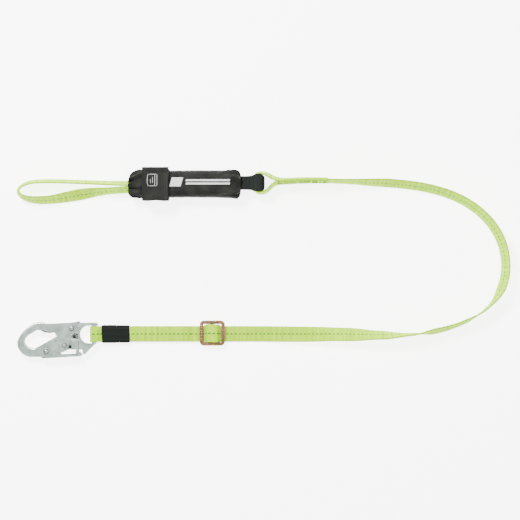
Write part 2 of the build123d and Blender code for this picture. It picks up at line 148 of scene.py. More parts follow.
def ribbon(name, path, across, material):
    """Webbing mesh along a path. across gives the width's direction at each point.

    The UV map holds metres along and metres across, for the weave.
    """
    ring = section(WEB_W, WEB_T)
    along = lengths(path)
    mesh = bpy.data.meshes.new(name)
    bm = bmesh.new()
    uv = bm.loops.layers.uv.new("UVMap")
    rows = []
    for i, point in enumerate(path):
        ahead = path[min(i + 1, len(path) - 1)] - path[max(i - 1, 0)]
        tangent = ahead.normalized()
        wide = (across[i] - tangent * across[i].dot(tangent)).normalized()
        out = wide.cross(tangent).normalized()
        rows.append([bm.verts.new(point + wide * a + out * b) for a, b in ring])
    count = len(ring)
    for i in range(len(rows) - 1):
        for j in range(count):
            k = (j + 1) % count
            face = bm.faces.new((rows[i][j], rows[i][k], rows[i + 1][k], rows[i + 1][j]))
            places = ((i, j), (i, k), (i + 1, k), (i + 1, j))
            for loop, (row, col) in zip(face.loops, places):
                loop[uv].uv = (along[row], ring[col][0])
    for row, flip in ((rows[0], False), (rows[-1], True)):
        cap = bm.faces.new(row if flip else row[::-1])
        for loop in cap.loops:
            loop[uv].uv = (0, 0)
    bmesh.ops.recalc_face_normals(bm, faces=bm.faces)
    bm.to_mesh(mesh)
    bm.free()
    return link(name, mesh, material)


def lying_ribbon(name, route, rolls, lifts, material, detail):
    """Webbing that lies along a plan route in millimetres, turned by rolls in degrees.

    lifts gives its height off the floor in millimetres, by share of the length.
    """
    plan = follow([(x * MM, y * MM, 0) for x, y in route], detail)
    along = lengths(plan)
    path, across = [], []
    for i, point in enumerate(plan):
        share = along[i] / along[-1]
        roll = math.radians(value_at(rolls, share))
        ahead = (plan[min(i + 1, len(plan) - 1)] - plan[max(i - 1, 0)]).normalized()
        side = Vector((-ahead.y, ahead.x, 0))
        height = (WEB_W * math.sin(roll) + WEB_T * abs(math.cos(roll))) / 2
        path.append(point + Vector((0, 0, height + value_at(lifts, share) * MM)))
        across.append(side * math.cos(roll) + Vector((0, 0, math.sin(roll))))
    return ribbon(name, path, across, material), path


def standing_ribbon(name, route, y, material, detail):
    """Webbing that stays level across, along (x, z) points in millimetres."""
    path = follow([(x * MM, y * MM, z * MM) for x, z in route], detail)
    across = [Vector((0, 1, 0))] * len(path)
    return ribbon(name, path, across, material)


# ---- Materials ----

class Nodes:
    """Short way to add shader nodes to a material."""

    def __init__(self, name):
        self.material = bpy.data.materials.new(name)
        self.material.use_nodes = True
        self.tree = self.material.node_tree
        self.shader = self.tree.nodes["Principled BSDF"]

    def add(self, kind, **settings):
        """A new node with its settings."""
        node = self.tree.nodes.new(kind)
        for key, value in settings.items():
            setattr(node, key, value)
        return node

    def join(self, source, target):
        """Link an output socket to an input socket."""
        self.tree.links.new(source, target)

    def maths(self, operation, a, b=None):
        """A maths node on sockets or numbers."""
        node = self.add("ShaderNodeMath", operation=operation)
        for socket, value in zip(node.inputs, (a, b)):
            if value is None:
                continue
            if isinstance(value, (int, float)):
                socket.default_value = value
            else:
                self.join(value, socket)
        return node.outputs[0]

    def mix(self, factor, low, high):
        """A colour between two colours or colour sockets."""
        node = self.add("ShaderNodeMix", data_type="RGBA")
        sockets = (node.inputs[0], node.inputs[6], node.inputs[7])
        for socket, value in zip(sockets, (factor, low, high)):
            if isinstance(value, (int, float)):
                socket.default_value = value
            elif isinstance(value, tuple):
                socket.default_value = (*value, 1)
            else:
                self.join(value, socket)
        return node.outputs[2]

    def noise(self, scale, detail, place=None):
        """Noise value at object coordinates, or at a given place."""
        node = self.add("ShaderNodeTexNoise")
        node.inputs["Scale"].default_value = scale
        node.inputs["Detail"].default_value = detail
        if place is None:
            place = self.add("ShaderNodeTexCoord").outputs["Object"]
        self.join(place, node.inputs["Vector"])
        return node.outputs["Fac"]

    def spread(self, value, low, high):
        """Stretch low..high of a value to 0..1."""
        node = self.add("ShaderNodeMapRange")
        node.inputs["From Min"].default_value = low
        node.inputs["From Max"].default_value = high
        self.join(value, node.inputs["Value"])
        return node.outputs["Result"]

    def bump(self, height, distance, strength, under=None):
        """Bump from a height value, in metres of distance."""
        node = self.add("ShaderNodeBump")
        node.inputs["Strength"].default_value = strength
        node.inputs["Distance"].default_value = distance
        self.join(height, node.inputs["Height"])
        if under is not None:
            self.join(under, node.inputs["Normal"])
        return node.outputs["Normal"]

    def finish(self, colour, rough, metal=0.0, normal=None, sheen=0.0, gloss=0.5):
        """Set the shader's main sockets."""
        inputs = self.shader.inputs
        inputs["Specular IOR Level"].default_value = gloss
        for socket, value in ((inputs["Base Color"], colour), (inputs["Roughness"], rough)):
            if isinstance(value, tuple):
                socket.default_value = (*value, 1)
            elif isinstance(value, (int, float)):
                socket.default_value = value
            else:
                self.join(value, socket)
        inputs["Metallic"].default_value = metal
        inputs["Sheen Weight"].default_value = sheen
        inputs["Sheen Roughness"].default_value = 0.5
        if normal is not None:
            self.join(normal, inputs["Normal"])
        return self.material


def wave(n, value, pitch):
    """Rounded ridges of a given pitch along a value, 0 to 1."""
    turn = n.maths("MULTIPLY", value, 2 * math.pi / pitch)
    return n.maths("MULTIPLY", n.maths("ADD", n.maths("SINE", turn), 1.0), 0.5)


def webbing(name, dark, light, tracer=None):
    """Woven webbing: cross ribs, herringbone threads, and a dashed tracer down the middle."""
    n = Nodes(name)
    place = n.add("ShaderNodeUVMap", uv_map="UVMap").outputs[0]
    split = n.add("ShaderNodeSeparateXYZ")
    n.join(place, split.inputs[0])
    along, over = split.outputs[0], split.outputs[1]
    side = n.maths("ABSOLUTE", over)
    slant = n.maths("ADD", along, n.maths("MULTIPLY", n.maths("PINGPONG", side, 0.0032), 0.12))
    ribs = wave(n, slant, 0.0021)
    threads = wave(n, over, 0.0011)
    weave = n.maths("ADD", n.maths("MULTIPLY", ribs, 0.7), n.maths("MULTIPLY", threads, 0.3))
    stain = n.spread(n.noise(38, 6), 0.3, 0.75)
    lane = n.add("ShaderNodeCombineXYZ")
    n.join(along, lane.inputs[0])
    streak = n.spread(n.noise(210, 3, lane.outputs[0]), 0.36, 0.64)
    tone = n.maths("ADD", n.maths("MULTIPLY", weave, 0.46), n.maths("MULTIPLY", stain, 0.12))
    tone = n.maths("ADD", tone, n.maths("MULTIPLY", streak, 0.42))
    colour = n.mix(tone, dark, light)
    edge = n.spread(side, WEB_W * 0.455, WEB_W * 0.5)
    colour = n.mix(n.maths("MULTIPLY", edge, 0.35), colour, tuple(c * 0.55 for c in dark))
    if tracer:
        beat = n.maths("FRACT", n.maths("DIVIDE", along, 0.0066))
        dash = n.maths("LESS_THAN", beat, 0.56)
        line = n.maths("LESS_THAN", side, 0.00105)
        colour = n.mix(n.maths("MULTIPLY", dash, line), colour, tracer)
    normal = n.bump(weave, 0.0005, 0.8)
    fuzz = n.spread(n.noise(900, 2), 0.35, 0.65)
    normal = n.bump(fuzz, 0.0001, 0.5, normal)
    rough = n.maths("ADD", n.maths("MULTIPLY", weave, -0.12), 0.78)
    return n.finish(colour, rough, 0.0, normal, sheen=0.005, gloss=0.08)


def zinc(name, colour, tint, rough, iridescent=False):
    """Plated steel: fine brushed grain, cloudy plating, dull worn spots."""
    n = Nodes(name)
    cloud = n.spread(n.noise(95, 6), 0.3, 0.7)
    fine = n.spread(n.noise(1500, 3), 0.3, 0.7)
    shade = n.mix(cloud, colour, tint)
    if iridescent:
        film = n.spread(n.noise(140, 3), 0.38, 0.62)
        shade = n.mix(n.maths("MULTIPLY", film, 0.6), shade, (0.50, 0.27, 0.21))
        film = n.spread(n.noise(60, 2), 0.52, 0.66)
        shade = n.mix(n.maths("MULTIPLY", film, 0.4), shade, (0.24, 0.22, 0.09))
    pits = n.spread(n.noise(420, 5), 0.56, 0.7)
    shade = n.mix(n.maths("MULTIPLY", pits, 0.25), shade, tuple(c * 0.45 for c in colour))
    gloss = n.maths("ADD", n.maths("MULTIPLY", cloud, 0.12), rough)
    gloss = n.maths("ADD", gloss, n.maths("MULTIPLY", pits, 0.18))
    normal = n.bump(fine, 0.00008, 0.5)
    normal = n.bump(cloud, 0.0003, 0.25, normal)
    return n.finish(shade, gloss, 0.92, normal)


def nylon(name, dark, light, pitch=0.0009, relief=0.00022):
    """Plain-woven nylon cloth with soft random blotches of painted crease shade in its tone."""
    n = Nodes(name)
    place = n.add("ShaderNodeTexCoord").outputs["Object"]
    split = n.add("ShaderNodeSeparateXYZ")
    n.join(place, split.inputs[0])
    warp = wave(n, split.outputs[0], pitch)
    weft = wave(n, split.outputs[1], pitch)
    weave = n.maths("MULTIPLY", warp, weft)
    # random blotches of painted crease shade, darker and lighter in the cloth's tone
    crease_shade = n.spread(n.noise(60, 7), 0.42, 0.7)
    tone = n.maths("ADD", n.maths("MULTIPLY", weave, 0.5), n.maths("MULTIPLY", crease_shade, 0.5))
    colour = n.mix(tone, dark, light)
    normal = n.bump(weave, relief, 0.7)
    normal = n.bump(n.noise(130, 5), 0.0011, 0.35, normal)
    return n.finish(colour, 0.66, 0.0, normal, sheen=0.01, gloss=0.13)


def thread(name, colour):
    """Twisted sewing thread."""
    n = Nodes(name)
    place = n.add("ShaderNodeTexCoord").outputs["Object"]
    split = n.add("ShaderNodeSeparateXYZ")
    n.join(place, split.inputs[0])
    twist = wave(n, n.maths("ADD", split.outputs[0], split.outputs[2]), 0.0008)
    shade = n.mix(twist, tuple(c * 0.5 for c in colour), colour)
    return n.finish(shade, 0.6, 0.0, n.bump(twist, 0.0002, 0.8), sheen=0.02, gloss=0.2)


LIME = webbing("lime webbing", (0.17, 0.41, 0.0), (0.56, 0.85, 0.0), (0.02, 0.20, 0.02))
BLACK = webbing("black webbing", (0.003, 0.0045, 0.0035), (0.016, 0.019, 0.016))
COVER = nylon("cover nylon", (0.004, 0.0045, 0.0035), (0.018, 0.019, 0.015))
BAND = nylon("band nylon", (0.005, 0.0055, 0.0045), (0.017, 0.018, 0.0145), 0.0007, 0.0001)
TAPE = nylon("hook tape", (0.006, 0.006, 0.006), (0.03, 0.03, 0.03), 0.0016, 0.0006)
STEEL = zinc("plated steel", (0.42, 0.50, 0.45), (0.50, 0.60, 0.54), 0.30)
RIVET = zinc("rivet steel", (0.46, 0.46, 0.40), (0.70, 0.70, 0.62), 0.22)
DARK_STEEL = zinc("shaded steel", (0.07, 0.11, 0.10), (0.16, 0.20, 0.18), 0.45)
GOLD = zinc("yellow zinc", (0.15, 0.085, 0.03), (0.36, 0.21, 0.09), 0.22, iridescent=True)
GREEN = thread("green thread", (0.02, 0.16, 0.05))
WHITE = thread("pale print", (0.80, 0.81, 0.80))
GREY = thread("grey thread", (0.06, 0.06, 0.06))
PAPER = nylon("label paper", (0.50, 0.50, 0.48), (0.70, 0.70, 0.68), 0.003, 0.00005)


# ---- Webbing ----

MAIN_POINTS = [
    (222, 129.9), (262, 132.9), (310, 132.2), (360, 130.6), (412, 128.6), (464, 121.5),
    (512, 106.5), (552, 80), (580, 43), (590.5, -2), (583, -42), (560, -74), (520, -97.5),
    (472, -111.5), (420, -116.6), (366, -116.0), (312, -114.8), (258, -115.2),
    (204, -114.6), (150, -114.6),
]
MAIN_ROLLS = [
    (0, 79), (0.1, 79), (0.2, 62), (0.5, 66), (0.55, 90), (0.60, 106), (0.65, 111), (0.69, 86),
    (0.75, 60), (0.80, 36), (0.90, 12), (0.955, 0), (1, 0),
]
EYE_ROLLS = [(0, 79), (0.50, 75), (0.62, 83), (0.74, 88), (0.86, 82), (1, 79)]
SOFT_POINTS = [
    (-8, 127.6), (-57, 128.9), (-106, 131.0), (-150, 132.3), (-184, 130.5), (-201.5, 117),
    (-188, 103), (-152, 100.5), (-108, 108.6), (-62, 116.6), (-8, 118.6),
]
SOFT_ROLLS = [(0, 72), (0.2, 76), (0.5, 76), (0.62, 64), (0.76, 50), (0.9, 70), (1, 70)]
RUN_Y = -114.6
HOOK_BAR = (-75.5, 9.0)  # web bar's centre, x and z
ADJ_X = 115.2
JOIN_X = 80.0
LOOP_Y = 128.9


def main_strap():
    """Free strap from the pack's link round to the adjuster."""
    lifts = [(0, LAYER), (0.15, 0), (1, 0)]
    strap, path = lying_ribbon("main strap", MAIN_POINTS, MAIN_ROLLS, lifts, LIME, 16)
    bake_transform(strap)
    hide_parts("main_strap")
    return path


def link_eye():
    """Sewn eye of the main strap, through the black loop."""
    points = [
        (301.6, 135.1), (262, 135.85), (221, 132.6), (200, 145.6), (183, 145.6),
        (183, 112.9), (201.5, 112.9), (215.5, 128.9), (221.9, 129.87),
    ]
    lifts = [(0, LAYER), (1, LAYER)]
    eye = lying_ribbon("link eye", points, EYE_ROLLS, lifts, LIME, 12)[0]
    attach(eye, "lanyard")
    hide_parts("link_eye")


def soft_loop():
    """Web loop that lies out from the pack's hook end."""
    lifts = [(0, LAYER), (0.2, 0), (0.85, 0), (1, LAYER)]
    loop, path = lying_ribbon("soft loop", SOFT_POINTS, SOFT_ROLLS, lifts, LIME, 16)
    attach(loop, "lanyard")
    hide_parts("soft_loop")


def hook_strap():
    """Strap from the adjuster round the hook's bar and back."""
    bar, mid = HOOK_BAR
    turn = 5.55  # from the bar's centre to the strap's middle
    raised = 2 * FLAT_Z  # middle of the lower layer inside the keeper sleeve
    points = [
        (JOIN_X, FLAT_Z), (40, FLAT_Z), (12, FLAT_Z), (-6.6, FLAT_Z), (-16.6, raised),
        (-40, raised), (bar + 13, raised),
        (bar + 3.5, mid - turn), (bar - turn, mid - turn), (bar - turn, mid + turn),
        (bar + 2.3, mid + turn), (bar + 12, raised + LAYER), (-40, raised + LAYER),
        (-16.6, raised + LAYER), (-6.6, UPPER_Z), (12, UPPER_Z), (40, UPPER_Z),
        (JOIN_X, UPPER_Z),
    ]
    strap = standing_ribbon("hook strap", points, RUN_Y, LIME, 12)
    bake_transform(strap)
    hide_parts("hook_strap")


def adjuster_straps():
    """Strap that slides over the adjuster's bar, and the sewn end round it."""
    top = 15.1  # height of the strap over the bar
    bar_z, wrap = 8.3, 3.9  # the centre bar's height, and the sewn end's distance from it
    over = [
        (JOIN_X, UPPER_Z), (92, UPPER_Z), (ADJ_X - 12.7, UPPER_Z), (ADJ_X - 6.2, top),
        (ADJ_X + 6.2, top), (ADJ_X + 12.7, UPPER_Z), (ADJ_X + 20.8, UPPER_Z),
        (ADJ_X + 30, FLAT_Z), (150, FLAT_Z),
    ]
    low, high = bar_z - wrap, bar_z + wrap
    under = [
        (JOIN_X, FLAT_Z), (95, FLAT_Z), (ADJ_X - 8.2, FLAT_Z), (ADJ_X - 1.7, low),
        (ADJ_X + wrap, low), (ADJ_X + wrap, high), (ADJ_X - wrap, high),
        (ADJ_X - wrap, bar_z - 2.2),
    ]
    for name, points, node in (
        ("adjuster strap", over, "adjuster_strap"), ("strap end", under, "strap_end"),
    ):
        piece = standing_ribbon(name, points, RUN_Y, LIME, 14)
        for vertex in piece.data.vertices:
            crest = math.exp(-((vertex.co.x / MM - ADJ_X) / 12.5) ** 8)
            vertex.co.y += crest * (1.3 * MM + 0.13 * (vertex.co.y - RUN_Y * MM))
        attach(piece, "adjuster")
        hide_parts(node)


def black_loop():
    """Black loop of the energy absorber, opened out round the strap's eye."""
    points = [
        (148, 17.1), (166.4, 17.1), (179.4, 29.9), (198.6, 29.9), (198.6, 15.6), (198.6, 1.3),
        (179.4, 1.3), (166.4, 14.1), (148, 14.1),
    ]
    path = follow([(x * MM, LOOP_Y * MM, z * MM) for x, z in points], 14)
    loop = ribbon("black loop", path, [Vector((0, 1, 0))] * len(path), BLACK)
    flare = [(0.1760, 0.86), (0.1880, 1.14), (0.1925, 1.14)]  # width's share, by x
    for vertex in loop.data.vertices:
        open_out = value_at(flare, max(vertex.co.x, flare[0][0]))
        tip = min(max((vertex.co.x - 0.1900) / 0.0102, 0), 1)
        wide = open_out * (0.40 + 0.60 * math.sqrt(1 - tip * tip))
        vertex.co.y = LOOP_Y * MM + (vertex.co.y - LOOP_Y * MM) * wide
    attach(loop, "lanyard")
    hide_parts("absorber_loop")


main_path = main_strap()
link_eye()
soft_loop()
hook_strap()
adjuster_straps()
black_loop()


# ---- Pack cover, gathers, label ----

COVER_ROWS = 190
COVER_SIDES = 160
MOUTH_Y = 0.1228  # middle of the cover's gathered mouth
MOUTH_HALF = 0.0105
NECK_RUN = 0.021  # length over which the mouth widens to the cover
END_RUN = 0.010  # length of the rounding at the other end


def hull(name, rings, material):
    """Closed mesh through rings of points, with a UV map of metres along and around."""
    mesh = bpy.data.meshes.new(name)
    bm = bmesh.new()
    uv = bm.loops.layers.uv.new("UVMap")
    rows = [[bm.verts.new(p) for p in ring] for ring in rings]
    count = len(rings[0])
    middle = rings[len(rings) // 2]
    around = lengths([Vector(p) for p in middle] + [Vector(middle[0])])
    for i in range(len(rows) - 1):
        for j in range(count):
            k = (j + 1) % count
            face = bm.faces.new((rows[i][j], rows[i][k], rows[i + 1][k], rows[i + 1][j]))
            places = ((i, j), (i, j + 1), (i + 1, j + 1), (i + 1, j))
            for loop, (row, col) in zip(face.loops, places):
                loop[uv].uv = (around[col], rings[row][0][0])
    bm.faces.new(rows[0])
    bm.faces.new(rows[-1])
    bmesh.ops.recalc_face_normals(bm, faces=bm.faces)
    bm.to_mesh(mesh)
    bm.free()
    return link(name, mesh, material)


def oval(x, centre, half_y, half_z, power, count):
    """Superellipse ring across X. power 2 is an ellipse, more is boxier."""
    ring = []
    for i in range(count):
        a = 2 * math.pi * i / count
        c, s = math.cos(a), math.sin(a)
        y = math.copysign(abs(c) ** (2 / power), c) * half_y
        z = math.copysign(abs(s) ** (2 / power), s) * half_z
        ring.append(Vector((x, centre.y + y, centre.z + z)))
    return ring


def crumple(place, fine):
    """Soft creases of pulled cloth, about -1 to 1."""
    long = noise.noise(Vector((place.x * 26, place.y * 75, place.z * 75)))
    short = noise.noise(Vector((place.x * 110, place.y * 120, place.z * 120 + 5)))
    return long * (1 - fine) + short * fine


def pack_cover():
    """Nylon cover, gathered at both ends, with pull creases."""
    low, high = box_of("pack_cover")
    left, right = box_of("hook_end_gather")[0].x, box_of("link_end_gather")[1].x
    centre = (low + high) / 2
    full_y, full_z = (high.y - low.y) / 2, (high.z - low.z) / 2
    mouth = Vector((left, MOUTH_Y, centre.z + 0.0004))
    rings = []
    for i in range(COVER_ROWS + 1):
        x = left + (right - left) * i / COVER_ROWS
        from_left, from_right = x - left, right - x
        neck = min(from_left / NECK_RUN, 1) ** 1.25
        neck = math.sqrt(1 - (1 - neck) ** 2)
        end = 1 - min(from_right / END_RUN, 1)
        end = math.sqrt(1 - end * end)
        half_y = (MOUTH_HALF + (full_y - MOUTH_HALF) * neck) * (0.56 + 0.44 * end)
        half_z = (full_z - 0.0002) * (0.93 + 0.07 * neck) * (0.72 + 0.28 * end)
        mid = mouth.lerp(centre, neck)
        mid.x = x
        frill = math.exp(-(from_left / 0.013) ** 2) + 0.8 * math.exp(-(from_right / 0.008) ** 2)
        pull = math.exp(-(from_left / 0.021) ** 2) + 0.8 * math.exp(-(from_right / 0.024) ** 2)
        pull = min(pull, 1)
        ring = []
        for j, point in enumerate(oval(x, mid, half_y, half_z, 3.2, COVER_SIDES)):
            out = (point - mid).normalized()
            a = j / COVER_SIDES * 2 * math.pi
            ruffle = math.sin(a * 13 + 1.6 * math.sin(x * 210)) * 0.0014 * frill
            fold = math.sin(a * 9 + x * 60 + 3.2 * noise.noise(point * 55)) * 0.0030 * pull
            crease = crumple(point, 0.35) * (0.0009 + 0.0020 * pull)
            ring.append(point + out * (ruffle + fold + crease - 0.0009))
        rings.append([Vector((p.x, p.y, max(p.z, 0.0008))) for p in ring])
    cover = hull("pack cover", rings, COVER)
    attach(cover, "lanyard")
    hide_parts("pack_cover", "hook_end_gather", "link_end_gather")
    return cover


def elastic(name, x, half_y, half_z, middle):
    """Rolled elastic hem round an end of the cover."""
    rings = []
    sides = 128
    for i in range(13):
        t = i / 12
        swell = math.sin(math.pi * t) * 0.0011
        ring = []
        place = x + 0.0046 * (t - 0.5)
        hem_ring = oval(place, middle, half_y + swell, half_z + swell, 3, sides)
        for j, point in enumerate(hem_ring):
            out = (point - middle).normalized()
            ring.append(point + out * math.sin(j * 2 * math.pi * 23 / sides) * 0.0004)
        rings.append([Vector((p.x, p.y, max(p.z, 0.0005))) for p in ring])
    hem = hull(name, rings, BAND)
    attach(hem, "lanyard")


def stitch_row(name, spots, material, body, radius):
    """Stitches as short rounded threads. spots gives (start, end) of each."""
    mesh = bpy.data.meshes.new(name)
    bm = bmesh.new()
    for a, b in spots:
        run = b - a
        turn = run.to_track_quat("Z", "Y")
        rings = []
        for t, grow in ((0, 0.35), (0.15, 0.9), (0.5, 1.0), (0.85, 0.9), (1, 0.35)):
            ring = []
            for i in range(8):
                w = 2 * math.pi * i / 8
                ring.append(bm.verts.new(
                    a + run * t + turn @ Vector((math.cos(w), math.sin(w), 0)) * radius * grow
                ))
            rings.append(ring)
        for r0, r1 in zip(rings, rings[1:]):
            for i in range(8):
                bm.faces.new((r0[i], r0[(i + 1) % 8], r1[(i + 1) % 8], r1[i]))
        bm.faces.new(rings[0][::-1])
        bm.faces.new(rings[-1])
    bmesh.ops.recalc_face_normals(bm, faces=bm.faces)
    bm.to_mesh(mesh)
    bm.free()
    piece = link(name, mesh, material)
    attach(piece, body)
    return piece


def band():
    """Fabric band round the pack, with soft corners and a slightly wavy edge."""
    low, high = box_of("label_band")
    centre = (low + high) / 2
    rings = []
    for i in range(33):
        t = i / 32
        x = low.x + (high.x - low.x) * t
        bow = 0.0006 * math.sin(3 * math.pi * t)
        half_y = (high.y - low.y) / 2 - 0.0008
        half_z = (high.z - low.z) / 2 - 0.0002
        ring = []
        for p in oval(x, centre, half_y, half_z, 5.5, 128):
            edge = p.x + 0.0005 * math.sin(p.y * 300)
            ring.append(Vector((edge, p.y + bow * (p.y - centre.y) / 0.025, max(p.z, 0))))
        rings.append(ring)
    wrap = hull("label band", rings, BAND)
    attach(wrap, "lanyard")
    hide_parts("label_band")


def cloth_panel(name, low, high, material, lift, body, node, cells=(44, 44)):
    """Thin panel of cloth between two corners, with a bound edge.

    lift(u, v) gives its waves.
    """
    mesh = bpy.data.meshes.new(name)
    bm = bmesh.new()
    across, up = cells
    sides = []
    for z in (low.z, high.z):
        grid = []
        for i in range(across + 1):
            u = i / across
            row = []
            for j in range(up + 1):
                v = j / up
                rim = min(u, 1 - u, v, 1 - v)
                puff = 0.0 if z == low.z else -0.0004 * (1 if 0.05 < rim < 0.075 else 0)
                x = low.x + (high.x - low.x) * u
                y = low.y + (high.y - low.y) * v
                row.append(bm.verts.new((x, y, z + puff + lift(u, v))))
            grid.append(row)
        sides.append(grid)
    bottom, top = sides
    for i in range(across):
        for j in range(up):
            bm.faces.new((top[i][j], top[i + 1][j], top[i + 1][j + 1], top[i][j + 1]))
            bm.faces.new((bottom[i][j], bottom[i][j + 1], bottom[i + 1][j + 1], bottom[i + 1][j]))
    for i in range(across):
        for j in (0, up):
            bm.faces.new((bottom[i][j], bottom[i + 1][j], top[i + 1][j], top[i][j]))
    for j in range(up):
        for i in (0, across):
            bm.faces.new((bottom[i][j], bottom[i][j + 1], top[i][j + 1], top[i][j]))
    bmesh.ops.recalc_face_normals(bm, faces=bm.faces)
    bm.to_mesh(mesh)
    bm.free()
    panel = link(name, mesh, material)
    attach(panel, body)
    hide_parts(node)
    return panel


def outline(name, route, top):
    """Thin printed line along (x, y) points on the flap."""
    spots = []
    for a, b in zip(route, route[1:]):
        spots.append((Vector((*a, top)), Vector((*b, top))))
    stitch_row(name, spots, WHITE, "flap", 0.00035)


def flap_wave(u, v):
    """Sag and slight waves of the flap."""
    return -0.0005 * math.sin(math.pi * u) * v + 0.0003 * math.sin(7 * u + 3 * v)


def seam_dent(u, v):
    """Dent in the middle of the seam."""
    return -0.0008 * math.exp(-((u - 0.5) / 0.12) ** 2) * v


def label():
    """Flap over the label, its seam, the edge stitches and a plain booklet sign."""
    low, high = box_of("label_flap")
    flap = cloth_panel("label flap", low, high, BAND, flap_wave, "flap", "label_flap")
    top = high.z
    spots = []
    for i in range(15):
        y = low.y + 0.003 + i * (high.y - low.y - 0.006) / 15
        for x in (high.x - 0.0022, high.x - 0.0052):
            spots.append((Vector((x, y, top + 0.0001)), Vector((x, y + 0.0021, top + 0.0001))))
    stitch_row("flap stitches", spots, GREY, "flap", 0.0003)
    mid = Vector((0.0198, 0.1326, 0))
    w, h = -0.0155 / 2, 0.0186 / 2  # w is negative, as the sign's spine is on the right
    book = [
        (-w, -h), (w * 0.7, -h), (w, -h * 0.75), (w, h * 0.75), (w * 0.7, h), (-w, h), (-w, -h),
    ]
    page = [(-w * 0.55, -h * 0.95), (-w * 0.55, h * 0.95)]
    lines = [(-w * 0.1, -h * 0.55), (-w * 0.1, h * 0.55)]
    more = [(w * 0.35, -h * 0.55), (w * 0.35, h * 0.2)]
    for number, shape in enumerate((book, page, lines, more)):
        route = [(mid.x + a, mid.y + b) for a, b in shape]
        outline(f"booklet sign {number}", route, top - 0.0001)
    seam_low, seam_high = box_of("label_seam")
    cloth_panel(
        "label seam", seam_low, seam_high, BAND, seam_dent, "lanyard", "label_seam", (40, 8)
    )


def booklet_lines():
    """Plain grey print rules on the booklet under the flap, no lettering."""
    low, high = box_of("label_booklet")
    spots = []
    for i in range(9):
        y = low.y + 0.004 + i * 0.0029
        last_run = 0.0100 if i % 3 else 0.0070
        for x, run in ((low.x + 0.003, 0.0105), (low.x + 0.0165, last_run)):
            spots.append((Vector((x, y, high.z)), Vector((x + run, y, high.z))))
    lines = stitch_row("booklet lines", spots, GREY, "lanyard", 0.0003)


def keeper():
    """Black sleeve over the two layers behind the hook, folded double at the hook's end."""
    low, high = box_of("keeper_sleeve")
    centre = (low + high) / 2
    rings = []
    for i in range(61):
        t = i / 60
        x = low.x + (high.x - low.x) * t
        step = 0.0004 / (1 + math.exp((t - 0.5) * 60))
        lip = -0.0007 * (math.exp(-(t / 0.02) ** 2) + math.exp(-((1 - t) / 0.02) ** 2))
        grow = step + lip
        ring = oval(x, centre, (high.y - low.y) / 2 + grow, (high.z - low.z) / 2 + grow, 6, 96)
        rings.append([
            Vector((p.x + 0.0006 * math.sin(p.y * 190), p.y, max(p.z, 0.0))) for p in ring
        ])
    sleeve = hull("keeper sleeve", rings, BLACK)
    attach(sleeve, "hook_end")
    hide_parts("keeper_sleeve")


STITCH_PITCH = 0.0044
SEWN_RUN = 0.079  # length of the sewn overlap, from the strap's start
SEWN_ROLL = 79  # how far the webbing stands up there, in degrees


def tab_stitches(route):
    """Rows of green stitches through the sewn overlap, on its outer face."""
    spots = []
    along = lengths(route)
    for i, place in enumerate(route[:-1]):
        number = int(along[i] / STITCH_PITCH)
        if along[i] > SEWN_RUN or number == int(along[i - 1] / STITCH_PITCH):
            continue
        ahead = (route[i + 1] - place).normalized()
        side = Vector((ahead.y, -ahead.x, 0)) * 0.0017
        inward = Vector((-ahead.y, ahead.x, 0))
        lean = math.cos(math.radians(SEWN_ROLL))
        for rise in (-0.0102, -0.0034, 0.0034, 0.0102):
            spot = place + side + inward * rise * lean + Vector((0, 0, rise))
            zig = Vector((0, 0, 0.0008 if number % 2 else -0.0008))
            spots.append((spot - ahead * 0.0016 + zig, spot + ahead * 0.0016 - zig))
    stitches = stitch_row("tab stitches", spots, GREEN, "lanyard", 0.0004)
    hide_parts("tab_stitching")


PRINT_Y = 0.1300
PRINT_Z = 0.045  # above the cover, which the print is then dropped onto
PRINT_SHAPES = (  # left end, right end, middle's distance from PRINT_Y, half height
    (0.0490, 0.0670, 0, 0.0072),
    (0.0735, 0.1440, -0.0026, 0.0015),
    (0.0735, 0.1440, 0.0026, 0.0015),
)


def mark(cover):
    """Plain pale print on the cover: a slanted block and two slim bars, no lettering."""
    mesh = bpy.data.meshes.new("print")
    bm = bmesh.new()
    cells, rows = 40, 8
    for x0, x1, offset, half in PRINT_SHAPES:
        grid = []
        for i in range(cells + 1):
            x = x0 + (x1 - x0) * i / cells
            line = []
            for j in range(rows + 1):
                v = (j / rows - 0.5) * 2 * half
                line.append(bm.verts.new((x + v * 0.3, PRINT_Y + offset + v, PRINT_Z)))
            grid.append(line)
        for i in range(cells):
            for j in range(rows):
                bm.faces.new((grid[i][j], grid[i + 1][j], grid[i + 1][j + 1], grid[i][j + 1]))
    bm.to_mesh(mesh)
    bm.free()
    ink = link("cover print", mesh, WHITE)
    wrap = ink.modifiers.new("lie on cover", "SHRINKWRAP")
    wrap.target = cover
    wrap.wrap_method = "PROJECT"
    wrap.use_project_z = True
    wrap.use_negative_direction = True
    wrap.use_positive_direction = False
    wrap.offset = 0.00025
    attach(ink, "lanyard")


def serrations():
    """Rounded teeth along the adjuster's grip bar."""
    low, high = box_of("adjuster_frame")
    spots = []
    for i in range(7):
        y = (low.y + high.y) / 2 + (i - 3) * 0.0042
        spots.append((Vector((low.x + 0.0012, y, high.z)), Vector((low.x + 0.0050, y, high.z))))
    teeth = stitch_row("grip teeth", spots, GOLD, "adjuster", 0.0010)


def disc(bm, centre, stations):
    """Turned face about a vertical axis, from (radius, height) stations, outermost first."""
    count = 36
    rings = []
    for radius, height in stations:
        ring = []
        for i in range(count):
            a = 2 * math.pi * i / count
            spoke = Vector((radius * math.cos(a), radius * math.sin(a), height))
            ring.append(bm.verts.new(centre + spoke))
        rings.append(ring)
    for outer, inner in zip(rings, rings[1:]):
        for i in range(count):
            k = (i + 1) % count
            bm.faces.new((outer[i], outer[k], inner[k], inner[i]))
    bm.faces.new(rings[-1])


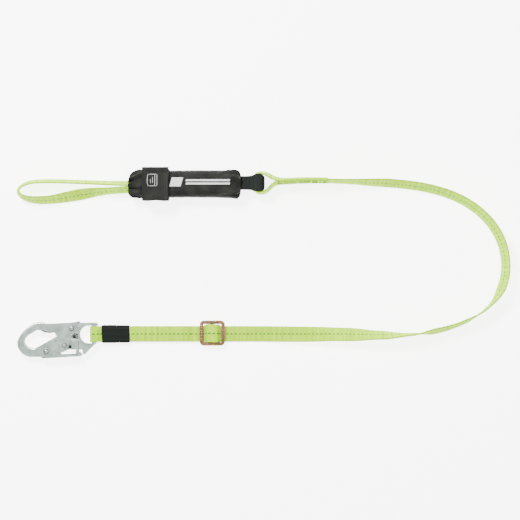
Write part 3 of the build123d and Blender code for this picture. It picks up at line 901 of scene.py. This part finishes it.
def turned(name, centre, stations, material, body):
    """One turned piece that rides a body."""
    mesh = bpy.data.meshes.new(name)
    bm = bmesh.new()
    disc(bm, centre, stations)
    bm.to_mesh(mesh)
    bm.free()
    piece = link(name, mesh, material)
    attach(piece, body)


def rivet_faces():
    """Peened faces of the rivets: a groove darkened with painted shade round a bright dome."""
    for node, body, rise in (
        ("gate_pivot_rivet", "hook", 0.75), ("lever_pivot_rivet", "hook", 0.75),
        ("latch_pin", "gate", 0.2),
    ):
        low, high = box_of(node)
        top = Vector(((low.x + high.x) / 2, (low.y + high.y) / 2, high.z))
        groove_shade = [(4.35 * MM, -0.1 * MM), (4.1 * MM, 0.1 * MM), (2.9 * MM, 0.08 * MM)]
        dome = [(a * MM, b * rise * MM) for a, b in ((2.9, 0), (2.6, 0.4), (1.8, 0.8), (0.8, 1))]
        # the groove ring is dark steel: painted shade round each rivet head
        turned(f"{node} groove", top, groove_shade, DARK_STEEL, body)
        turned(f"{node} dome", top, dome, RIVET, body)


def slab(name, corners, low, high, material, body):
    """Small flat plate from its plan corners, between two heights, all in millimetres."""
    mesh = bpy.data.meshes.new(name)
    bm = bmesh.new()
    floor = [bm.verts.new((x * MM, y * MM, low * MM)) for x, y in corners]
    roof = [bm.verts.new((x * MM, y * MM, high * MM)) for x, y in corners]
    count = len(corners)
    for i in range(count):
        k = (i + 1) % count
        bm.faces.new((floor[i], floor[k], roof[k], roof[i]))
    bm.faces.new(floor[::-1])
    bm.faces.new(roof)
    bmesh.ops.recalc_face_normals(bm, faces=bm.faces)
    bm.to_mesh(mesh)
    bm.free()
    piece = link(name, mesh, material)
    for face in mesh.polygons:
        face.use_smooth = False
    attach(piece, body)


# Lowest and highest z of the fillers in the hook, in millimetres; the dark fillers are painted
# shade, the lever's tip a painted highlight
SHADE_PLATE_Z = (5.1, 5.5)
SLOT_SHADE_Z = (4.78, 4.92)  # painted shade under the latch pin's slot
LIP_SHADE_Z = (6.5, 11.5)
TIP_HIGHLIGHT_Z = (6.5, 12.6)


def hook_insides():
    """Fillers for the look alone, which the CAD doesn't have.

    Dark plates of painted shade behind the hook's small openings, the gate's lip in dark steel as
    a painted shadow band, and the lever's tip in lighter rivet steel as a painted highlight.
    """
    low, high = box_of("gate_spring")
    x0, x1, y0, y1 = (v / MM for v in (low.x, high.x, low.y, high.y))
    window = [(x0 - 1, y0 - 1), (x1 + 1, y0 - 1), (x1 + 1, y1 + 1), (x0 - 1, y1 + 1)]
    # dark plate of painted shade seen through the spring's window
    slab("spring window shade", window, *SHADE_PLATE_Z, DARK_STEEL, "hook")
    stop = [(-141, -127.5), (-137, -127.5), (-137, -123.5), (-141, -123.5)]
    # dark plate of painted shade behind a small opening in the hook
    slab("stop hole shade", stop, *SHADE_PLATE_Z, DARK_STEEL, "hook")
    # stands in for the gate's rounded lower edge; its dark steel is a painted shadow band
    lip = [
        (-164, -106.3), (-159.4, -110), (-153.8, -112), (-146.9, -112.9), (-140.1, -111.8),
        (-137.8, -108.6), (-144.7, -105.2),
    ]
    slab("gate lip shade", lip, *LIP_SHADE_Z, DARK_STEEL, "gate")
    # the lever's real tip, drawn in lighter rivet steel as a painted highlight on its rounded end
    tip = [(-103, -95), (-102, -93.9), (-98, -93.9), (-97, -95), (-97, -104), (-103, -104)]
    slab("lever tip highlight", tip, *TIP_HIGHLIGHT_Z, RIVET, "hook")
    slot = [(-119, -139), (-110, -139), (-110, -131), (-119, -131)]
    # dark plate of painted shade under the latch pin's slot, riding the gate
    slab("slot shade", slot, *SLOT_SHADE_Z, DARK_STEEL, "gate")


cover_piece = pack_cover()
rivet_faces()
hook_insides()
PACK_END = box_of("link_end_gather")[1].x
elastic("link end elastic", PACK_END - 0.0026, 0.0126, 0.0085, Vector((0, 0.1284, 0.0156)))
keeper()
tab_stitches(main_path)
mark(cover_piece)
serrations()
band()
label()
booklet_lines()


# ---- Metal and small CAD parts keep their shape and get their finish ----

def paint(node, material):
    """Give a CAD node a material."""
    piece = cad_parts[node]
    if not piece.material_slots:
        piece.data.materials.append(material)
    for slot in piece.material_slots:
        slot.link = "OBJECT"
        slot.material = material


for node in ("hook_body", "hook_gate", "lock_lever"):
    paint(node, STEEL)
for node in ("gate_pivot_rivet", "latch_pin", "lever_pivot_rivet", "gate_spring", "lever_spring"):
    paint(node, RIVET)
for node, width in (("hook_body", 0.0016), ("hook_gate", 0.0005), ("lock_lever", 0.0005)):
    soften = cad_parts[node].modifiers.new("worn edges", "BEVEL")
    soften.width = width
    soften.segments = 3
    soften.limit_method = "ANGLE"
    soften.angle_limit = math.radians(50)
for node in ("adjuster_frame", "adjuster_centre_bar"):
    paint(node, GOLD)
for node in ("absorber_webbing", "link_end_tack"):
    paint(node, COVER)
paint("hook_end_tack", PAPER)
for node in ("absorber_stitching", "strap_end_stitching"):
    paint(node, GREEN)
for node in ("flap_hook_patch", "band_loop_patch"):
    paint(node, TAPE)


# ---- Floor and light ----

def set_stage():
    """Pale floor and soft studio light."""
    mesh = bpy.data.meshes.new("floor")
    corners = [(-6, -6, -0.0002), (6, -6, -0.0002), (6, 6, -0.0002), (-6, 6, -0.0002)]
    mesh.from_pydata(corners, [], [(0, 1, 2, 3)])
    n = Nodes("floor")
    glow = n.shader.inputs
    glow["Emission Color"].default_value = (1, 1, 1, 1)
    glow["Emission Strength"].default_value = 5.0
    floor = link("floor", mesh, n.finish((1.0, 1.0, 1.0), 0.8))
    world = bpy.data.worlds.new("world")
    bpy.context.scene.world = world
    world.use_nodes = True
    world.node_tree.nodes["Background"].inputs[0].default_value = (1, 1, 1, 1)
    world.node_tree.nodes["Background"].inputs[1].default_value = 0.7
    for place, size, power in (
        ((-0.6, 1.1, 1.5), 0.45, 100), ((1.2, 0.4, 1.6), 1.3, 24), ((0.2, -1.3, 1.4), 1.2, 14),
    ):
        data = bpy.data.lights.new("softbox", "AREA")
        data.size = size
        data.energy = power
        lamp = bpy.data.objects.new("softbox", data)
        bpy.context.scene.collection.objects.link(lamp)
        lamp.location = place
        aim = Vector((0.19, 0, 0)) - Vector(place)
        lamp.rotation_euler = aim.to_track_quat("-Z", "Y").to_euler()


set_stage()
